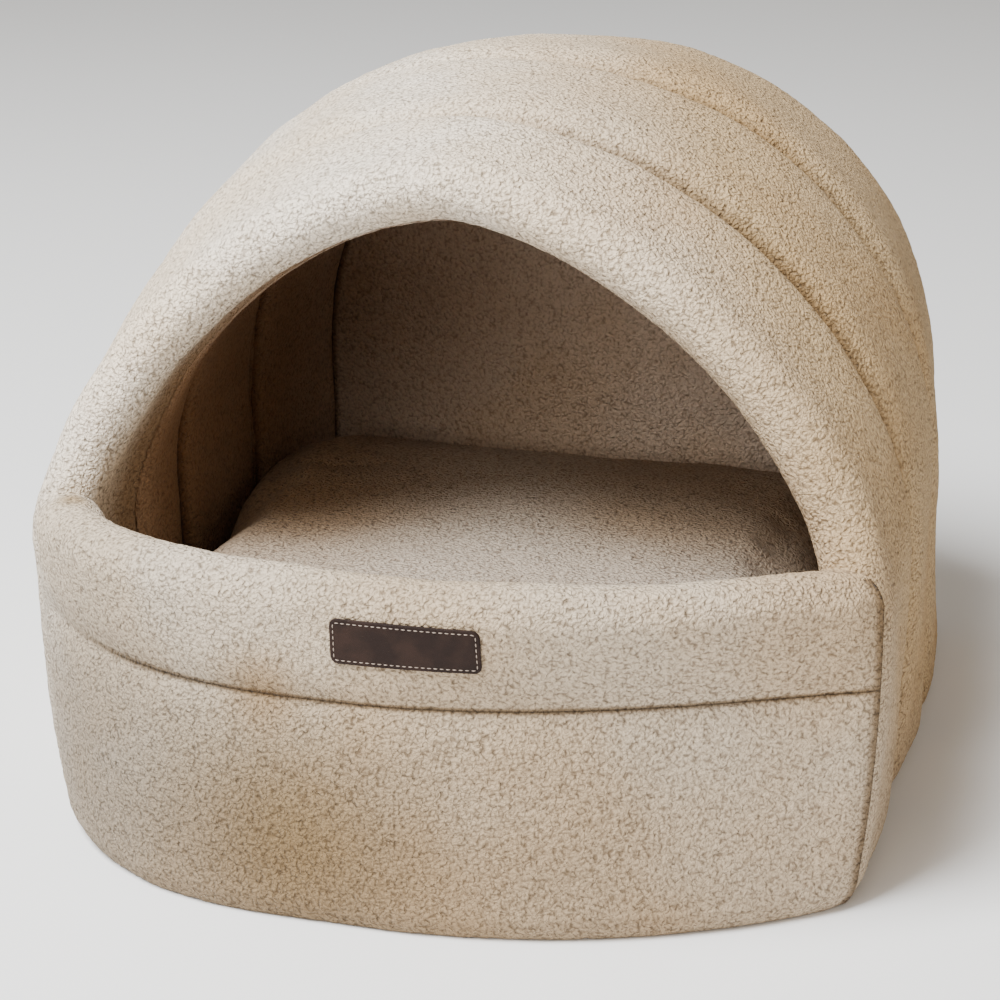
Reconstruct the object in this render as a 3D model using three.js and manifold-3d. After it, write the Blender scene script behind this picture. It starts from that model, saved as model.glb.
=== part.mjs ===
// A covered pet bed: an arched, padded hood in three sewn channels, a bowed front wall, a back panel,
// a base and a loose cushion. Millimetres, +Z up, front toward -Y, origin on the floor under the middle.
import * as THREE from 'three';
import { mergeVertices } from 'three/addons/utils/BufferGeometryUtils.js';
import Module from 'manifold-3d';

const wasm = await Module();
wasm.setup();

// Space left between neighbouring pieces, the thickness of the lining cloth, and the room the padding
// leaves for it
const GAP = 0.3;
const LINING = 2.4;
const LINING_ROOM = LINING + 4 * GAP;

// Lines across the hood's strip, from the front rim to the back.
// depth: how far back the feet stand. half: half width where the sides turn into the arch.
// foot: half width on the floor. top: height of the arch. lean: how far its top lies behind the feet.
// round: exponent of the arch.
const HOOD_LINES = [
  { depth: 20, half: 235.5, foot: 226, top: 375, lean: 25, round: 1.2 },
  { depth: 115, half: 235.5, foot: 228, top: 387, lean: -11, round: 1.03 },
  { depth: 230, half: 233, foot: 233, top: 397, lean: -10, round: 0.92 },
  { depth: 330, half: 221, foot: 230, top: 388, lean: 0, round: 0.88 },
  { depth: 393, half: 214, foot: 220, top: 377, lean: 0, round: 0.88 },
];
const RIM = HOOD_LINES[0].depth;
const SEAM_A = HOOD_LINES[1].depth;
const SEAM_B = HOOD_LINES[2].depth;
const PLUMB = HOOD_LINES[3].depth;
const BACK = HOOD_LINES[4].depth;

// Hood: height where the sides turn into the arch, padding, rim and seams
const SPRING = 157;
const HOOD_THICK = 46;
const RIM_RADIUS = 17;
const RIM_TO_FULL = 50;
const CORNER_REACH = 30;
const CORNER_ROUND = 0.6;
const CORNER_TOP = 172;
const CORNER_FADE = 50;
const SEAM_DEPTH = 8;
const SEAM_REACH = 32;
const INNER_SEAM_DEPTH = 6;
const INNER_SEAM_REACH = 22;
const LINING_START = 52;
const FOOT_ROUND = 5;
const FOOT_RISE = 14.3;

// Front wall, bowed in plan, with a rolled top and one seam along it. It stands a little to the right.
const WALL_THICK = 36;
const WALL_TOP = 189.5;
const WALL_END_RISE = -5;
const WALL_SEAM = 125.5;
const WALL_SEAM_REACH = 28;
const WALL_END = -7.5;
const WALL_BOW = 91;
const WALL_FULLNESS = 2.4;
const WALL_FULLNESS_TOP = 3;
const WALL_FULLNESS_FOOT = 3;
const WALL_SKEW = 0.19;
const WALL_SKEW_TOP = 0.11;
const WALL_SHIFT = 3;
const WALL_HALF = 233.5;
const WALL_HALF_FOOT = 223.5;
const WALL_TAPER_HEIGHT = 150;
// Shares of the half width where the wall's end turns, where its seam fades out and where it is drawn in
const WALL_TURN = 0.85;
const WALL_SEAM_FADE = [0.92, 0.99];
const WALL_PINCH_FADE = [0.93, 1];
const WALL_END_PINCH = 4;
const MITRE = new THREE.Vector2(-1.0, 0.42);

// Back panel
const BACK_SEAM = BACK - 11;
const BACK_FACE = BACK - HOOD_THICK;
const BACK_CROWN = 6;
const BACK_INNER_CROWN = 9;
const BACK_INSET = HOOD_THICK - INNER_SEAM_DEPTH;
const BACK_MIDDLE = 170;
const BACK_EDGE = SEAM_DEPTH + 9;
const BACK_ROUNDING = 9;

// Base and cushion
const BASE_THICK = 14;
const BASE_CLEAR = 2.5;
const BASE_INSET = HOOD_THICK - LINING;
const BASE_REACH = HOOD_LINES[0].foot - BASE_INSET;
const CUSHION_CLEAR = 4;
const CUSHION_TOP = 137;
const CUSHION_WAIST = 70;
const CUSHION_SQUARE = 7;
const CUSHION_PLUMP = 0.16;
const CUSHION_REAR = BACK_FACE - LINING - BACK_INNER_CROWN - 1;
const CUSHION_REACH = HOOD_LINES[0].foot - HOOD_THICK - CUSHION_CLEAR;
const CUSHION_MIDDLE = 150;

// Leather label on the front wall
const LABEL_WIDE = 76;
const LABEL_HIGH = 24;
const LABEL_THICK = 1.6;
const LABEL_CORNER = 4;
const LABEL_SIDE = 8;
const LABEL_HEIGHT = 161;

// The soft walls have settled a little toward the bed's left, most at the top
const SETTLE = -12;
const SETTLE_HEIGHT = 400;

const CLOTH = new THREE.MeshStandardMaterial({ color: 0xd8ccbb, roughness: 0.95, metalness: 0 });
const LINING_CLOTH = new THREE.MeshStandardMaterial({ color: 0x8a7562, roughness: 0.95, metalness: 0 });
const CUSHION_CLOTH = new THREE.MeshStandardMaterial({ color: 0xa8937f, roughness: 0.95, metalness: 0 });
const BASE_CLOTH = new THREE.MeshStandardMaterial({ color: 0xb5a892, roughness: 0.9, metalness: 0 });
const LEATHER = new THREE.MeshStandardMaterial({ color: 0x3c2620, roughness: 0.55, metalness: 0 });

const { lerp, smoothstep, clamp } = THREE.MathUtils;

// Any column of the hood's table as a smooth curve over depth, with each row's slope from its neighbours.
function hoodColumn(name) {
  const rows = HOOD_LINES.map((row) => ({ at: row.depth, value: row[name] }));
  const slopes = rows.map((row, i) => {
    const before = rows[Math.max(0, i - 1)];
    const after = rows[Math.min(rows.length - 1, i + 1)];
    return (after.value - before.value) / (after.at - before.at);
  });
  return (depth) => {
    const next = rows.findIndex((row, i) => i > 0 && depth <= row.at);
    const i = next < 0 ? rows.length - 2 : next - 1;
    const span = rows[i + 1].at - rows[i].at;
    const t = clamp((depth - rows[i].at) / span, 0, 1);
    const eased = t * t * (3 - 2 * t);
    const bend = t * (1 - t) * ((1 - t) * slopes[i] - t * slopes[i + 1]) * span;
    return lerp(rows[i].value, rows[i + 1].value, eased) + bend;
  };
}
const hoodHalf = hoodColumn('half');
const hoodFoot = hoodColumn('foot');
const hoodTop = hoodColumn('top');
const hoodRound = hoodColumn('round');
const leanColumn = hoodColumn('lean');
const hoodLean = (depth) => (depth < PLUMB ? leanColumn(depth) : 0);

const footTuck = (height) => FOOT_ROUND * Math.max(0, 1 - height / FOOT_RISE) ** 2;

// Step along a line, as a share of it, that gives its direction
const STEP = 0.003;

// A sewn groove: full depth on the seam, gone at its reach.
const groove = (distance, depth, reach) => depth * Math.max(0, 1 - Math.abs(distance) / reach) ** 3;

// Positions along the hood: -1 left foot, 0 top, 1 right foot. The arch takes the middle share.
const ARCH_SHARE = 0.64;
const ARCH_STEPS = 32;
const LEG_HEIGHTS = [0, FOOT_RISE, 62, 110];
const alongAt = (height) => 1 - (1 - ARCH_SHARE) * (height / SPRING);

function alongStations(legHeights) {
  const legs = legHeights.map(alongAt);
  const arch = Array.from({ length: ARCH_STEPS + 1 }, (_, i) => ARCH_SHARE * (2 * i / ARCH_STEPS - 1));
  return [...legs.map((a) => -a), ...arch, ...legs.reverse()];
}

// The hood's outer line seen from the front.
function hoodLine(along, depth) {
  const side = along < 0 ? -1 : 1;
  const a = Math.abs(along);
  const half = hoodHalf(depth);
  if (a > ARCH_SHARE) {
    const height = SPRING * (1 - a) / (1 - ARCH_SHARE);
    const taper = (half - hoodFoot(depth)) * (1 - height / SPRING) ** 2;
    return new THREE.Vector2(side * (half - taper), height);
  }
  const turn = (Math.PI / 2) * (a / ARCH_SHARE);
  const round = hoodRound(depth);
  const rise = (hoodTop(depth) - SPRING) * Math.max(0, Math.cos(turn)) ** round;
  return new THREE.Vector2(side * half * Math.sin(turn) ** round, SPRING + rise);
}

// A point in the hood's padding: inset is measured inward from the outer line.
function hoodPoint(along, depth, inset) {
  const a = Math.abs(along);
  const p = hoodLine(along, depth);
  const inward = new THREE.Vector2(-Math.sign(along), 0);
  if (a < ARCH_SHARE) {
    const tangent = hoodLine(along + STEP, depth).sub(hoodLine(along - STEP, depth)).normalize();
    inward.set(tangent.y, -tangent.x);
  }
  const lift = a < ARCH_SHARE ? Math.cos((Math.PI / 2) * (a / ARCH_SHARE)) : 0;
  const tucked = inset + footTuck(p.y) * (1 - inset / HOOD_THICK);
  p.addScaledVector(inward, tucked);
  return new THREE.Vector3(p.x, depth + hoodLean(depth) * lift, p.y);
}

// Outer and inner face of the hood at a depth, as insets. The padding is thinner toward the rim.
function outerInset(depth) {
  const seams = [SEAM_A, SEAM_B, BACK_SEAM];
  return seams.reduce((sum, seam) => sum + groove(depth - seam, SEAM_DEPTH, SEAM_REACH), 0);
}
function innerInset(depth) {
  const thick = lerp(2 * RIM_RADIUS, HOOD_THICK, smoothstep(depth, RIM, RIM + RIM_TO_FULL));
  const seams = [SEAM_A, SEAM_B, BACK_FACE];
  const at = Math.min(depth, BACK_FACE);
  return seams.reduce((sum, seam) => sum - groove(at - seam, INNER_SEAM_DEPTH, INNER_SEAM_REACH), thick);
}

// Depths of the rows across the channels, closer together beside the seams. In the first channel
// the outer cloth wraps the rim and ends inside, where the lining starts.
const CHANNEL_SHARES = [0.08, 0.22, 0.5, 0.78, 0.92, 1];
const OUTER_FIRST = [0, 0.12, 0.28, 0.46, 0.64, 0.8, 0.92, 1].map((share) => lerp(RIM, SEAM_A, share));
const INNER_FIRST = [RIM, 30, 41, LINING_START - 2, LINING_START - GAP, 84, 106, SEAM_A];
function channelRows(first, end) {
  const across = (from, to) => CHANNEL_SHARES.map((share) => lerp(from, to, share));
  return [...first, ...across(SEAM_A, SEAM_B), ...across(SEAM_B, end)];
}

// The geometry's points are moved by place, joined where they meet, and the faces turned outward.
function shaped(geometry, place) {
  const points = geometry.attributes.position;
  for (let i = 0; i < points.count; i += 1) {
    const p = place(points.getX(i), points.getY(i), points.getZ(i));
    const settled = p.x + SETTLE * (p.z / SETTLE_HEIGHT) ** 2;
    points.setXYZ(i, settled, p.y, p.z);
  }
  geometry.deleteAttribute('normal');
  geometry.deleteAttribute('uv');
  return outward(mergeVertices(geometry, 1e-3));
}

function outward(geometry) {
  const points = geometry.attributes.position;
  const corner = (i) => new THREE.Vector3().fromBufferAttribute(points, i);
  const kept = [];
  let volume = 0;
  const index = geometry.index.array;
  for (let i = 0; i < index.length; i += 3) {
    const [a, b, c] = [index[i], index[i + 1], index[i + 2]];
    if (a !== b && b !== c && c !== a) {
      kept.push(a, b, c);
      volume += corner(a).dot(corner(b).cross(corner(c)));
    }
  }
  if (volume < 0) {
    kept.reverse();
  }
  geometry.setIndex(kept);
  return geometry;
}

// A block whose three directions count rows: place gets the row numbers.
function block(columns, rows, layers, place) {
  const geometry = new THREE.BoxGeometry(columns, rows, layers, columns, rows, layers);
  geometry.translate(columns / 2, rows / 2, layers / 2);
  return shaped(geometry, (x, y, z) => place(Math.round(x), Math.round(y), Math.round(z)));
}

// A round body closed at both ends: place gets the share of the way round and the row number.
function disc(segments, rows, place) {
  const profile = Array.from({ length: rows }, (_, i) => {
    return new THREE.Vector2(i === 0 || i === rows - 1 ? 0 : 1, i);
  });
  const lathe = new THREE.LatheGeometry(profile, segments);
  return shaped(lathe, (x, row, z) => {
    const turn = Math.atan2(x, z) / (2 * Math.PI);
    return place((turn + 1) % 1, Math.round(row));
  });
}

function mesh(name, geometry, material) {
  geometry.computeVertexNormals();
  const piece = new THREE.Mesh(geometry, material);
  piece.name = name;
  return piece;
}

function solid(geometry) {
  const vertProperties = new Float32Array(geometry.attributes.position.array);
  const triVerts = new Uint32Array(geometry.index.array);
  return new wasm.Manifold(new wasm.Mesh({ numProp: 3, vertProperties, triVerts }));
}

function fromSolid(body) {
  const cut = body.getMesh();
  const geometry = new THREE.BufferGeometry();
  geometry.setAttribute('position', new THREE.BufferAttribute(new Float32Array(cut.vertProperties), 3));
  geometry.setIndex(new THREE.BufferAttribute(new Uint32Array(cut.triVerts), 1));
  return geometry;
}

// Outer line of the front wall in plan, at a height. across: -1 left end, 1 right end.
function wallLine(across, height) {
  const taper = Math.max(0, 1 - height / WALL_TAPER_HEIGHT) ** 2;
  const half = lerp(WALL_HALF, WALL_HALF_FOOT, taper);
  const upper = smoothstep(height, WALL_SEAM, WALL_TOP);
  const skew = lerp(WALL_SKEW, WALL_SKEW_TOP, upper);
  const t = Math.abs(across + skew * (1 - across * across));
  const lower = lerp(WALL_FULLNESS_FOOT, WALL_FULLNESS, smoothstep(height, 0, WALL_SEAM));
  const fullness = lerp(lower, WALL_FULLNESS_TOP, upper);
  return new THREE.Vector2(WALL_SHIFT + half * across, WALL_END - WALL_BOW * (1 - t ** fullness));
}

// A point in the front wall's padding: inset is measured inward from the outer line, mitred at the ends.
function wallPoint(across, height, inset) {
  const tangent = wallLine(across + STEP, height).sub(wallLine(across - STEP, height)).normalize();
  const inward = new THREE.Vector2(-tangent.y, tangent.x);
  const mitre = new THREE.Vector2(MITRE.x * Math.sign(across), MITRE.y);
  inward.lerp(mitre, smoothstep(Math.abs(across), WALL_TURN, 1));
  const p = wallLine(across, height).addScaledVector(inward, inset);
  const raised = WALL_END_RISE * Math.abs(across) ** 6 * smoothstep(height, WALL_SEAM, WALL_TOP);
  return new THREE.Vector3(p.x, p.y, height + raised);
}

function wallInset(across, height) {
  const seam = groove(height - WALL_SEAM, SEAM_DEPTH, WALL_SEAM_REACH);
  const flat = smoothstep(Math.abs(across), ...WALL_SEAM_FADE);
  const pinch = smoothstep(Math.abs(across), ...WALL_PINCH_FADE);
  return seam * (1 - flat) + WALL_END_PINCH * pinch + footTuck(height);
}

// The wall's columns stand closer together toward its ends by this share.
const WALL_CROWDING = 0.25;
const WALL_COLUMNS = 30;
const WALL_LAYERS = 6;
const WALL_HEIGHTS = [0, 5, FOOT_RISE, 45, 80, 104, 117, WALL_SEAM, 134, 145, 158, WALL_TOP - WALL_THICK / 2];

// The front wall's padding. grow makes it larger all round, to cut its own place out of the hood.
// Along the wall it grows a little more, because the ends are mitred.
const END_GROWTH = 1.3;
function frontWall(grow) {
  const radius = WALL_THICK / 2 + grow;
  const last = WALL_HEIGHTS.length;
  return block(WALL_COLUMNS, WALL_LAYERS, last, (column, layer, row) => {
    const even = 2 * column / WALL_COLUMNS - 1;
    const crowded = even * (1 + WALL_CROWDING * (1 - even * even));
    const across = crowded * (1 + END_GROWTH * grow / WALL_HALF);
    const share = layer / WALL_LAYERS;
    if (row === last) {
      const centre = WALL_HEIGHTS[last - 1];
      const turn = Math.PI * share;
      const inset = wallInset(across, centre) * (1 - share) - grow + radius * (1 - Math.cos(turn));
      return wallPoint(across, centre + radius * Math.sin(turn), inset);
    }
    const height = WALL_HEIGHTS[row];
    const inset = lerp(wallInset(across, height) - grow, WALL_THICK + grow, share);
    return wallPoint(across, row === 0 ? -3 * grow : height, inset);
  });
}

// The rolled front edge of the hood. Low down it turns square, to meet the front wall's end.
function rimPoint(along, share) {
  const turn = Math.PI * (1 - share);
  const height = hoodLine(along, RIM).y;
  const low = 1 - smoothstep(height, CORNER_TOP, CORNER_TOP + CORNER_FADE);
  const reach = lerp(RIM_RADIUS, CORNER_REACH, low);
  const power = lerp(1, CORNER_ROUND, low);
  const p = hoodPoint(along, RIM, RIM_RADIUS * (1 - Math.cos(turn)));
  p.y -= reach * Math.max(0, Math.sin(turn)) ** power;
  return p;
}

const HOOD_LAYERS = 6;
const HOOD_ALONG = alongStations(LEG_HEIGHTS);
const OUTER_ROWS = channelRows(OUTER_FIRST, BACK_SEAM);
const INNER_ROWS = channelRows(INNER_FIRST, BACK_FACE - GAP);
const LINING_ROWS = [LINING_START, ...INNER_ROWS.filter((depth) => depth > LINING_START)];

function hood() {
  const lastRow = OUTER_ROWS.length - 1;
  const padding = block(HOOD_ALONG.length - 1, lastRow, HOOD_LAYERS, (column, row, layer) => {
    const along = HOOD_ALONG[column];
    const share = layer / HOOD_LAYERS;
    if (row === 0) {
      return rimPoint(along, share);
    }
    const lined = INNER_ROWS[row] > LINING_START - 1 ? LINING_ROOM : 0;
    const inner = hoodPoint(along, INNER_ROWS[row], innerInset(INNER_ROWS[row]) - lined);
    const outer = hoodPoint(along, OUTER_ROWS[row], outerInset(OUTER_ROWS[row]));
    return inner.lerp(outer, share);
  });
  return fromSolid(solid(padding).subtract(solid(frontWall(GAP))));
}

function hoodLining() {
  const along = alongStations(LEG_HEIGHTS.slice(1));
  return block(along.length - 1, LINING_ROWS.length - 1, 1, (column, row, layer) => {
    const depth = LINING_ROWS[row];
    return hoodPoint(along[column], depth, innerInset(depth) - LINING * layer);
  });
}

// The way round the back panel: over the arch from left foot to right foot, then back along the bottom.
const ROUND_ARCH = HOOD_ALONG.length - 1;
const ROUND_BOTTOM = 10;
function panelPoint(share, depth, inset, foot) {
  const step = Math.round(share * (ROUND_ARCH + ROUND_BOTTOM));
  const floored = (a) => clamp(a, -alongAt(foot), alongAt(foot));
  if (step <= ROUND_ARCH) {
    return hoodPoint(floored(HOOD_ALONG[step]), depth, inset);
  }
  const right = hoodPoint(alongAt(foot), depth, inset);
  const left = hoodPoint(-alongAt(foot), depth, inset);
  return right.lerp(left, (step - ROUND_ARCH) / ROUND_BOTTOM);
}

// Draws a ring in toward the panel's middle and swells its face.
function crowned(p, size, crown) {
  p.x *= size;
  p.z = lerp(BACK_MIDDLE, p.z, size);
  p.y += crown * (1 - size * size);
  return p;
}

function backPanel() {
  const edge = GAP * 2.5;
  const face = BACK_FACE + edge;
  const rows = [
    { size: 0, inset: BACK_INSET, depth: face, crown: -BACK_INNER_CROWN, foot: FOOT_RISE },
    { size: 0.45, inset: BACK_INSET, depth: face, crown: -BACK_INNER_CROWN, foot: FOOT_RISE },
    { size: 0.8, inset: BACK_INSET, depth: face, crown: -BACK_INNER_CROWN, foot: FOOT_RISE },
    { size: 1, inset: BACK_INSET, depth: face, crown: 0, foot: FOOT_RISE },
    { size: 1, inset: BACK_INSET, depth: face, crown: 0, foot: 0 },
    { size: 1, inset: SEAM_DEPTH, depth: BACK_SEAM + edge, crown: 0, foot: 0 },
    { size: 1, inset: SEAM_DEPTH - 1, depth: BACK_SEAM + BACK_ROUNDING / 2, crown: 0, foot: 0 },
    { size: 1, inset: SEAM_DEPTH + 2, depth: BACK_SEAM + BACK_ROUNDING, crown: 0, foot: 0 },
    { size: 1, inset: BACK_EDGE, depth: BACK, crown: 0, foot: 0 },
    { size: 0.9, inset: BACK_EDGE, depth: BACK, crown: BACK_CROWN, foot: 0 },
    { size: 0.7, inset: BACK_EDGE, depth: BACK, crown: BACK_CROWN, foot: 0 },
    { size: 0.4, inset: BACK_EDGE, depth: BACK, crown: BACK_CROWN, foot: 0 },
    { size: 0, inset: BACK_EDGE, depth: BACK, crown: BACK_CROWN, foot: 0 },
  ];
  return disc(ROUND_ARCH + ROUND_BOTTOM, rows.length, (share, i) => {
    const row = rows[i];
    return crowned(panelPoint(share, row.depth, row.inset, row.foot), row.size, row.crown);
  });
}

function backLining() {
  const rear = BACK_FACE + GAP / 2;
  const rows = [
    { size: 0, depth: rear - LINING },
    { size: 0.45, depth: rear - LINING },
    { size: 0.8, depth: rear - LINING },
    { size: 1, depth: rear - LINING },
    { size: 1, depth: rear },
    { size: 0.8, depth: rear },
    { size: 0.45, depth: rear },
    { size: 0, depth: rear },
  ];
  return disc(ROUND_ARCH + ROUND_BOTTOM, rows.length, (share, i) => {
    const row = rows[i];
    const inset = innerInset(row.depth) + GAP;
    return crowned(panelPoint(share, row.depth, inset, FOOT_RISE), row.size, -BACK_INNER_CROWN);
  });
}

// Depth of the front wall's inner face on the floor at x, found by stepping along the wall.
function wallBack(x, clear) {
  const steps = 12;
  let across = x / WALL_HALF_FOOT;
  for (let i = 0; i < steps; i += 1) {
    across += (x - wallPoint(across, 0, WALL_THICK + clear).x) / WALL_HALF_FOOT;
  }
  return wallPoint(across, 0, WALL_THICK + clear).y;
}

function base() {
  const columns = 16;
  const rows = 8;
  return block(columns, rows, 1, (column, row, layer) => {
    const side = 2 * column / columns - 1;
    const depth = lerp(wallBack(side * BASE_REACH, BASE_CLEAR), BACK_FACE - BASE_CLEAR, row / rows);
    const half = Math.min(hoodFoot(depth), hoodLine(alongAt(BASE_THICK), depth).x);
    return new THREE.Vector3(side * (half - BASE_INSET), depth, BASE_THICK * layer);
  });
}

// A plump pillow, rounded square in plan, that fills the floor between the walls.
function cushion() {
  const segments = 44;
  const rows = 15;
  const floor = BASE_THICK + GAP;
  const size = (x, y) => Math.abs(x) ** CUSHION_SQUARE + Math.abs(y) ** CUSHION_SQUARE;
  return disc(segments, rows, (share, i) => {
    const angle = 2 * Math.PI * share;
    const swing = Math.PI * (i / (rows - 1) - 0.5);
    const height = lerp(CUSHION_WAIST, swing > 0 ? CUSHION_TOP : floor, Math.abs(Math.sin(swing)));
    const corner = size(Math.cos(angle), Math.sin(angle)) ** (1 / CUSHION_SQUARE);
    const spread = Math.max(0, Math.cos(swing)) ** CUSHION_PLUMP / corner;
    const across = spread * Math.cos(angle);
    const back = spread * Math.sin(angle);
    const edge = back > 0 ? CUSHION_REAR : wallBack(across * CUSHION_REACH, CUSHION_CLEAR);
    const depth = lerp(CUSHION_MIDDLE, edge, Math.abs(back));
    const half = hoodLine(alongAt(height), depth).x - HOOD_THICK - CUSHION_CLEAR;
    return new THREE.Vector3(across * half, depth, height);
  });
}

// Leather label, rounded at its corners, bent to the wall's face.
function label() {
  const columns = 14;
  const steps = [-1, -0.87, -0.68, 0, 0.68, 0.87, 1];
  return block(columns, steps.length - 1, 1, (column, row, layer) => {
    const up = steps[row] * LABEL_HIGH / 2;
    const past = Math.max(0, Math.abs(up) - (LABEL_HIGH / 2 - LABEL_CORNER)) / LABEL_CORNER;
    const half = LABEL_WIDE / 2 - LABEL_CORNER * (1 - Math.sqrt(1 - past * past));
    const across = (LABEL_SIDE + half * (2 * column / columns - 1)) / WALL_HALF;
    const height = LABEL_HEIGHT + up;
    return wallPoint(across, height, wallInset(across, height) - GAP - LABEL_THICK * layer);
  });
}

const bed = new THREE.Group();
bed.add(mesh('hood', hood(), CLOTH));
bed.add(mesh('hood_lining', hoodLining(), LINING_CLOTH));
bed.add(mesh('back_panel', backPanel(), CLOTH));
bed.add(mesh('back_lining', backLining(), LINING_CLOTH));
bed.add(mesh('front_wall', frontWall(0), CLOTH));
bed.add(mesh('base', base(), BASE_CLOTH));
bed.add(mesh('cushion', cushion(), CUSHION_CLOTH));
bed.add(mesh('label', label(), LEATHER));

// The origin lies on the floor, in the middle of the bed's outer box.
const box = new THREE.Box3().setFromObject(bed);
const middle = box.getCenter(new THREE.Vector3());
bed.position.set(-middle.x, -middle.y, -box.min.z);

export default bed;
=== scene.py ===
import math

import bmesh
import bpy
import numpy as np
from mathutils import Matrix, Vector


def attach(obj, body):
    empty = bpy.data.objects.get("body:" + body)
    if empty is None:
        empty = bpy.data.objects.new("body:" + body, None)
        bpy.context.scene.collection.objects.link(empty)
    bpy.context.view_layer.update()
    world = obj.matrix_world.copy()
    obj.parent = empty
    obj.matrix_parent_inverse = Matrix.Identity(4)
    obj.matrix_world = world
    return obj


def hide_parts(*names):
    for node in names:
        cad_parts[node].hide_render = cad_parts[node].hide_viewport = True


# The scene starts empty.
for name in ("Cube", "Light", "Camera"):
    if name in bpy.data.objects:
        bpy.data.objects.remove(bpy.data.objects[name])

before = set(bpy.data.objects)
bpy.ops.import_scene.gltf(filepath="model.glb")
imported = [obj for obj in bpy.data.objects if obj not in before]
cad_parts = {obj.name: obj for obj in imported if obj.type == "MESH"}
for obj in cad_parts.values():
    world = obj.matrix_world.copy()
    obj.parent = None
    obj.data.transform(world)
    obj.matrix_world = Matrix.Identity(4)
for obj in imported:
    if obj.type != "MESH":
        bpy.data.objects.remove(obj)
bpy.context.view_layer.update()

# The camera stands a little to the bed's right and above it, as in the photograph.
LENS = 92.62
SENSOR = 36.0
AZIMUTH = 15.4
ELEVATION = 20.0
DISTANCE = 1.4923
AIM = Vector((-0.0089, 0.0007, 0.1487))


def add_camera():
    turn, rise = math.radians(AZIMUTH), math.radians(ELEVATION)
    level = math.cos(rise)
    back = Vector((math.sin(turn) * level, -math.cos(turn) * level, math.sin(rise)))
    data = bpy.data.cameras.new("camera")
    data.lens = LENS
    data.sensor_width = SENSOR
    camera = bpy.data.objects.new("camera", data)
    camera.location = AIM + back * DISTANCE
    camera.rotation_mode = "QUATERNION"
    camera.rotation_quaternion = (-back).to_track_quat("-Z", "Y")
    bpy.context.scene.collection.objects.link(camera)
    bpy.context.scene.camera = camera


add_camera()

# Sizes are in millimetres, measured from the front corners, and MIDDLE is the bed's origin there.
MM = 0.001
MIDDLE = np.array([-1.76, 149.3, 0.0])
# The linings' thickness, and the gap that is left between two pieces
LINING = 2.4
CLEAR = 0.3
LINING_ROOM = LINING + 4 * CLEAR

# Lines across the hood: depth of the feet, half width above and on the floor, height,
# lean of the top and roundness of the arch
HOOD_DEPTH = [20, 115, 230, 330, 393]
HOOD_HALF = [235.5, 235.5, 233, 221, 214]
HOOD_FOOT = [226, 228, 233, 230, 220]
HOOD_TOP = [375, 387, 397, 388, 377]
HOOD_LEAN = [25, -11, -10, 0, 0]
HOOD_ROUND = [1.2, 1.03, 0.92, 0.88, 0.88]
RIM, SEAM_A, SEAM_B, PLUMB, BACK = HOOD_DEPTH
# The arch springs from the upright sides at this height, and takes this share of the line
# across the hood. Each half of it is about so long.
SPRING = 157
ARCH_SHARE = 0.64
ARCH_HALF_LONG = 385
HOOD_THICK = 46
RIM_RADIUS = 17
RIM_TO_FULL = 50
# Below CORNER_TOP the rolled rim reaches further forward and is blunter.
CORNER_REACH = 30
CORNER_ROUND = 0.6
CORNER_TOP = 172
CORNER_FADE = 50
# The cloth dips toward the seam between the rim and the wall's right end, and is darkened there
# by painted shade in that crease.
CORNER_SEAM_REACH = 9
CORNER_VALLEY = 1.6
CORNER_SEAM_SHADE = 0.85
SEAM_DEPTH = 8
SEAM_REACH = 32
INNER_SEAM_DEPTH = 6
INNER_SEAM_REACH = 22
# The hood's seams are drawn in less on the left, where the cloth lies loose: their share
# of the depth and of the painted shade in them on the left and on the right, and where it
# changes.
SEAM_DRAWN = (0.65, 1.5)
SEAM_DRAWN_FROM = (-0.5, 0.35)
SEAM_PAINTED_SHADE = (0.3, 1)
SEAM_PAINTED_SHADE_FROM = (-0.3, 0.35)
LINING_START = 52
LINING_LAP = 2
# How far before the lining the painted shade on the rim's turned-in cloth is full
RIM_INSIDE_SHADE_WIDE = 8
FOOT_ROUND = 5
FOOT_RISE = 14.3

WALL_THICK = 36
WALL_TOP = 189.5
WALL_END_RISE = -5
WALL_END_RISE_POWER = 6
WALL_SEAM = 125.5
WALL_SEAM_DEPTH = 4.5
WALL_SEAM_REACH = 28
# The wall bows out by WALL_BOW from the line of its ends. The fullness says how square the
# bow is, and the skew how far it lies to the left.
WALL_END = -7.5
WALL_BOW = 91
WALL_FULLNESS = 2.4
WALL_FULLNESS_TOP = 3
WALL_FULLNESS_FOOT = 3
WALL_SKEW = 0.19
WALL_SKEW_TOP = 0.11
WALL_SHIFT = 3
WALL_HALF = 233.5
WALL_HALF_FOOT = 223.5
WALL_TAPER_HEIGHT = 150
WALL_TURN = 0.85
WALL_SEAM_FADE = (0.92, 0.99)
WALL_PINCH_FADE = (0.93, 1)
WALL_END_PINCH = 4
# Its ends are mitred in this direction, and its sections lie closer together toward them.
MITRE = np.array([-1.0, 0.42])
WALL_CROWDING = 0.25
# The tool that cuts the hood for the wall reaches further out at the ends and below.
END_GROWTH = 1.3
GROWTH_BELOW = 3
# Toward its ends the wall's pile lies flatter, and its cloth swells against the hood.
END_FADE = (0.93, 0.97)
END_FLATTER = 0.7
END_SWELL = 1.1
# Painted shade along the wall's seam and in the crease at its right end, and where it begins
WALL_SEAM_SHADE_REACH = 4.5
WALL_SEAM_SHADE_FROM = (-1.1, -0.6)
END_SEAM_SHADE = 0.86
END_SEAM_SHADE_FROM = (0.955, 1)
END_SEAM_SHADE_ROLL_ROWS = 12
# Up to this height the wall's inner side is hidden behind the cushion, and keeps few rows.
HIDDEN_HEIGHT = 112
HIDDEN_STRIDE = 18

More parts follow.
